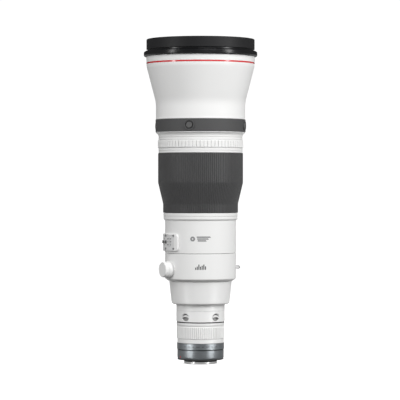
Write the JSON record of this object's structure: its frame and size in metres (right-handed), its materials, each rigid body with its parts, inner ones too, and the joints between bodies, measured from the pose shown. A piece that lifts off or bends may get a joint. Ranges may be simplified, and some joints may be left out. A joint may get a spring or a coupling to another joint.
{
  "type": "super telephoto camera lens",
  "caption": "Large white super telephoto camera lens with black front rim, rubber focusing grip, switch panel, rotating tripod collar with foot, filter drawer and bayonet.",
  "frame": {"origin": "centre of the mount flange's rear face, on the optical axis", "axes": "+Z along the optical axis to the front, +Y towards the tripod foot, -Y the top side of the lens, +X the side with the collar's strap loop"},
  "size_m": [0.168, 0.182, 0.479],
  "materials": {
    "white_paint": "satin warm white heat-reflecting paint with a very fine texture",
    "black_paint": "satin black paint",
    "red_paint": "smooth red paint",
    "belt_rubber": "smooth matt dark grey rubber",
    "grip_rubber": "ribbed matt dark grey rubber",
    "seal_rubber": "soft black rubber",
    "button_plastic": "fine textured dark plastic",
    "black_plastic": "fine textured black plastic",
    "switch_plate": "satin light grey paint",
    "inner_aluminium": "dark anodised",
    "mount_grey": "grey anodised, satin",
    "bayonet_chrome": "turned and chromed",
    "screw_steel": "satin",
    "gold_contacts": "gold plated",
    "brass": "plain",
    "coated_glass": "polished with an anti-reflection coat"
  },
  "bodies": {
    "barrel": {"front_rim": "black_paint", "front_retaining_ring": "black_paint", "front_element": "coated_glass", "red_line_ring": "red_paint", "front_barrel": "white_paint", "button_belt": "belt_rubber", "middle_barrel": "white_paint", "switch_barrel": "white_paint", "switch_plate": "switch_plate", "switch_plate_screws": "screw_steel", "collar_bearing": "inner_aluminium", "rear_cone": "white_paint", "rear_barrel": "white_paint", "strap_eyelets": "white_paint", "mount_collar": "mount_grey", "bayonet": "bayonet_chrome", "mount_screws": "screw_steel", "contact_block": "black_plastic", "contact_pins": "gold_contacts", "mount_seal": "seal_rubber", "rear_lens_cell": "black_paint", "rear_lenses": "coated_glass"},
    "playback": {"playback_ring": "white_paint"},
    "focus": {"focus_ring": "inner_aluminium", "focus_grip": "grip_rubber"},
    "stop_1": {"stop_button_1": "button_plastic"},
    "stop_2": {"stop_button_2": "button_plastic"},
    "stop_3": {"stop_button_3": "button_plastic"},
    "stop_4": {"stop_button_4": "button_plastic"},
    "focus_mode": {"focus_mode_switch": "button_plastic"},
    "focus_range": {"focus_range_switch": "button_plastic"},
    "stabiliser_on": {"stabiliser_switch": "button_plastic"},
    "stabiliser_mode": {"stabiliser_mode_switch": "button_plastic"},
    "preset": {"preset_switch": "button_plastic"},
    "collar": {"tripod_collar": "white_paint", "tripod_foot": "white_paint", "foot_screws": "screw_steel", "strap_loop": "white_paint"},
    "knob": {"collar_knob": "white_paint", "knob_stud": "screw_steel"},
    "clamp": {"clamp_shoe": "brass"},
    "filter": {"filter_holder": "black_plastic", "drop_in_filter": "coated_glass"},
    "control": {"control_ring": "white_paint"},
    "cam": {"focus_cam_ring": "inner_aluminium"},
    "focus_cell": {"focus_lens_cell": "black_paint", "focus_lens": "coated_glass"},
    "stabiliser_x": {"stabiliser_carriage": "black_paint"},
    "stabiliser_y": {"stabiliser_lens": "coated_glass"}
  },
  "joints": [
    {"name": "playback_turn", "type": "hinge", "parent": "barrel", "child": "playback", "pos_m": [0, 0, 0.3172], "axis": [0, 0, 1], "range_deg": [-8, 8], "stiffness_Nm_per_rad": 0.5},
    {"name": "focus_turn", "type": "hinge", "parent": "barrel", "child": "focus", "pos_m": [0, 0, 0.26], "axis": [0, 0, 1], "continuous": true},
    {"name": "stop_1_press", "type": "slide", "parent": "barrel", "child": "stop_1", "axis": [0.2588, 0.9659, 0], "range_m": [0, 0.0008], "stiffness_N_per_m": 800},
    {"name": "stop_2_press", "type": "slide", "parent": "barrel", "child": "stop_2", "axis": [-0.9659, 0.2588, 0], "range_m": [0, 0.0008], "stiffness_N_per_m": 800},
    {"name": "stop_3_press", "type": "slide", "parent": "barrel", "child": "stop_3", "axis": [-0.2588, -0.9659, 0], "range_m": [0, 0.0008], "stiffness_N_per_m": 800},
    {"name": "stop_4_press", "type": "slide", "parent": "barrel", "child": "stop_4", "axis": [0.9659, -0.2588, 0], "range_m": [0, 0.0008], "stiffness_N_per_m": 800},
    {"name": "focus_mode_slide", "type": "slide", "parent": "barrel", "child": "focus_mode", "axis": [0, 0, 1], "range_m": [-0.0022, 0.0022]},
    {"name": "focus_range_slide", "type": "slide", "parent": "barrel", "child": "focus_range", "axis": [0, 0, 1], "range_m": [-0.0022, 0.0022]},
    {"name": "stabiliser_on_slide", "type": "slide", "parent": "barrel", "child": "stabiliser_on", "axis": [0, 0, 1], "range_m": [-0.0022, 0.0022]},
    {"name": "stabiliser_mode_slide", "type": "slide", "parent": "barrel", "child": "stabiliser_mode", "axis": [0, 0, 1], "range_m": [-0.0022, 0.0022]},
    {"name": "preset_slide", "type": "slide", "parent": "barrel", "child": "preset", "axis": [0, 0, 1], "range_m": [-0.0022, 0.0022]},
    {"name": "collar_turn", "type": "hinge", "parent": "barrel", "child": "collar", "pos_m": [0, 0, 0.136], "axis": [0, 0, 1], "continuous": true},
    {"name": "knob_turn", "type": "hinge", "parent": "collar", "child": "knob", "pos_m": [-0.05023, -0.029, 0.1326], "axis": [-0.866, -0.5, 0], "range_deg": [0, 270]},
    {"name": "clamp_slide", "type": "slide", "parent": "collar", "child": "clamp", "axis": [-0.866, -0.5, 0], "range_m": [0, 0.00076]},
    {"name": "filter_pull", "type": "slide", "parent": "barrel", "child": "filter", "axis": [0, 1, 0], "range_m": [0, 0.075]},
    {"name": "control_turn", "type": "hinge", "parent": "barrel", "child": "control", "pos_m": [0, 0, 0.04], "axis": [0, 0, 1], "continuous": true},
    {"name": "cam_turn", "type": "hinge", "parent": "barrel", "child": "cam", "pos_m": [0, 0, 0.19], "axis": [0, 0, 1], "range_deg": [0, 60]},
    {"name": "focus_cell_slide", "type": "slide", "parent": "barrel", "child": "focus_cell", "axis": [0, 0, 1], "range_m": [-0.01201, 0]},
    {"name": "stabiliser_x_shift", "type": "slide", "parent": "barrel", "child": "stabiliser_x", "axis": [1, 0, 0], "range_m": [-0.0008, 0.0008], "stiffness_N_per_m": 400},
    {"name": "stabiliser_y_shift", "type": "slide", "parent": "stabiliser_x", "child": "stabiliser_y", "axis": [0, 1, 0], "range_m": [-0.0008, 0.0008], "stiffness_N_per_m": 400}
  ],
  "couplings": [
    {"joint": "clamp_slide", "follows": "knob_turn", "m_per_rad": 0.00015915},
    {"joint": "focus_cell_slide", "follows": "cam_turn", "m_per_rad": -0.011459}
  ]
}
